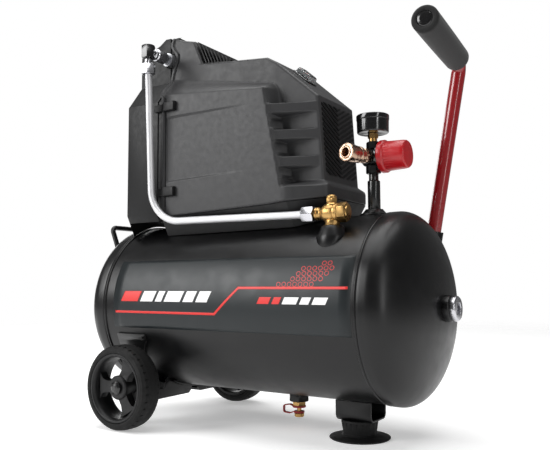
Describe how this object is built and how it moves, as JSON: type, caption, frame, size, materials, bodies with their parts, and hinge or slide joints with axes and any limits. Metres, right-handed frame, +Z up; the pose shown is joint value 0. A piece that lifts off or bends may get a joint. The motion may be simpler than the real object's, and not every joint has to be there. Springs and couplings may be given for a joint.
{
  "type": "portable air compressor",
  "caption": "Oil-free portable air compressor: horizontal tank on wheels and a rubber foot, shrouded pump, regulator with gauge, and a bent pull handle.",
  "frame": {"origin": "on the floor, under the middle of the outline", "axes": "+X from the wheels towards the foot and handle, along the tank; -Y is the front, with the delivery pipe and coupler; +Z up"},
  "size_m": [0.5845, 0.3074, 0.595],
  "materials": {
    "tank_paint": "satin powder coat",
    "red_paint": "glossy powder coat",
    "dark_steel": "satin",
    "bright_steel": "polished plating",
    "zinc_steel": "zinc plated",
    "pipe_aluminium": "drawn tube",
    "brass_parts": "cast and turned",
    "nickel_brass": "nickel washed",
    "cast_aluminium": "cast",
    "iron_core": "machined",
    "cover_plastic": "fine textured",
    "shell_plastic": "fine textured",
    "grille_plastic": "satin",
    "black_plastic": "satin",
    "red_plastic": "glossy",
    "dark_red_plastic": "flexible",
    "wheel_plastic": "moulded",
    "rubber_black": "moulded",
    "tyre_black": "ribbed",
    "foam_black": "closed-cell foam",
    "dial_white": "printed",
    "clear_lens": "clear"
  },
  "bodies": {
    "compressor": {"tank_shell": "tank_paint", "tank_end_left": "tank_paint", "tank_end_right": "tank_paint", "weld_bosses": "tank_paint", "end_plug": "bright_steel", "foot_bracket": "tank_paint", "rubber_foot": "rubber_black", "wheel_bracket": "tank_paint", "wheel_bolts": "dark_steel", "cable_hook": "tank_paint", "handle_tube": "red_paint", "handle_socket": "tank_paint", "handle_bolt": "zinc_steel", "handle_grip": "foam_black", "grip_cap": "black_plastic", "drain_body": "brass_parts", "drain_strap": "dark_red_plastic", "check_valve_body": "brass_parts", "check_valve_cap": "brass_parts", "delivery_pipe": "pipe_aluminium", "pipe_nuts": "bright_steel", "pipe_elbow": "black_plastic", "elbow_fittings": "bright_steel", "riser_pipe": "dark_steel", "regulator_body": "black_plastic", "gauge_stem": "brass_parts", "gauge_case": "black_plastic", "gauge_dial": "dial_white", "gauge_lens": "clear_lens", "coupler_body": "nickel_brass", "safety_valve": "brass_parts", "shroud": "cover_plastic", "left_shell": "shell_plastic", "top_grille": "grille_plastic", "end_grille": "grille_plastic", "shell_clips": "cover_plastic", "switch_bezel": "black_plastic", "switch_boot": "clear_lens", "cable_gland": "black_plastic", "motor_platform": "dark_steel", "base_tray": "black_plastic", "motor_stator": "cast_aluminium", "motor_bearings": "zinc_steel", "eccentric": "iron_core", "wobble_piston": "cast_aluminium", "cylinder": "cast_aluminium", "crankcase": "cast_aluminium", "cylinder_head": "cast_aluminium"},
    "wheel_front": {"wheel_rim_front": "wheel_plastic", "tyre_front": "tyre_black"},
    "wheel_rear": {"wheel_rim_rear": "wheel_plastic", "tyre_rear": "tyre_black"},
    "knob": {"regulator_knob": "red_plastic"},
    "sleeve": {"coupler_sleeve": "nickel_brass"},
    "drain_screw": {"drain_screw": "brass_parts"},
    "rocker": {"switch_rocker": "red_plastic"},
    "needle": {"gauge_needle": "dark_steel"},
    "safety_ring": {"safety_ring": "zinc_steel"},
    "rotor": {"motor_rotor": "iron_core", "cooling_fan": "wheel_plastic"}
  },
  "joints": [
    {"name": "wheel_front_spin", "type": "hinge", "parent": "compressor", "child": "wheel_front", "pos_m": [-0.1671, -0.1357, 0.0597], "axis": [0, 1, 0], "continuous": true},
    {"name": "wheel_rear_spin", "type": "hinge", "parent": "compressor", "child": "wheel_rear", "pos_m": [-0.1671, 0.1357, 0.0597], "axis": [0, 1, 0], "continuous": true},
    {"name": "knob_turn", "type": "hinge", "parent": "compressor", "child": "knob", "pos_m": [0.1989, 0, 0.376], "axis": [1, 0, 0], "range_deg": [-720, 720]},
    {"name": "sleeve_pull", "type": "slide", "parent": "compressor", "child": "sleeve", "axis": [0.2079, 0.9781, 0], "range_m": [0, 0.0045], "stiffness_N_per_m": 1200, "springref_m": -0.003},
    {"name": "drain_screw_turn", "type": "hinge", "parent": "compressor", "child": "drain_screw", "pos_m": [0.0454, 0, 0.028], "axis": [0, 0, 1], "range_deg": [0, 540]},
    {"name": "rocker_press", "type": "hinge", "parent": "compressor", "child": "rocker", "pos_m": [0.06456, -0.008, 0.50381], "axis": [0, 1, 0], "range_deg": [-4, 4]},
    {"name": "needle_swing", "type": "hinge", "parent": "compressor", "child": "needle", "pos_m": [0.1674, 0, 0.4275], "axis": [0, 0, -1], "range_deg": [0, 270]},
    {"name": "safety_ring_pull", "type": "slide", "parent": "compressor", "child": "safety_ring", "axis": [0, 0, 1], "range_m": [0, 0.003], "stiffness_N_per_m": 2500, "springref_m": -0.002},
    {"name": "rotor_spin", "type": "hinge", "parent": "compressor", "child": "rotor", "pos_m": [-0.0111, 0, 0.395], "axis": [1, 0, 0], "continuous": true}
  ]
}
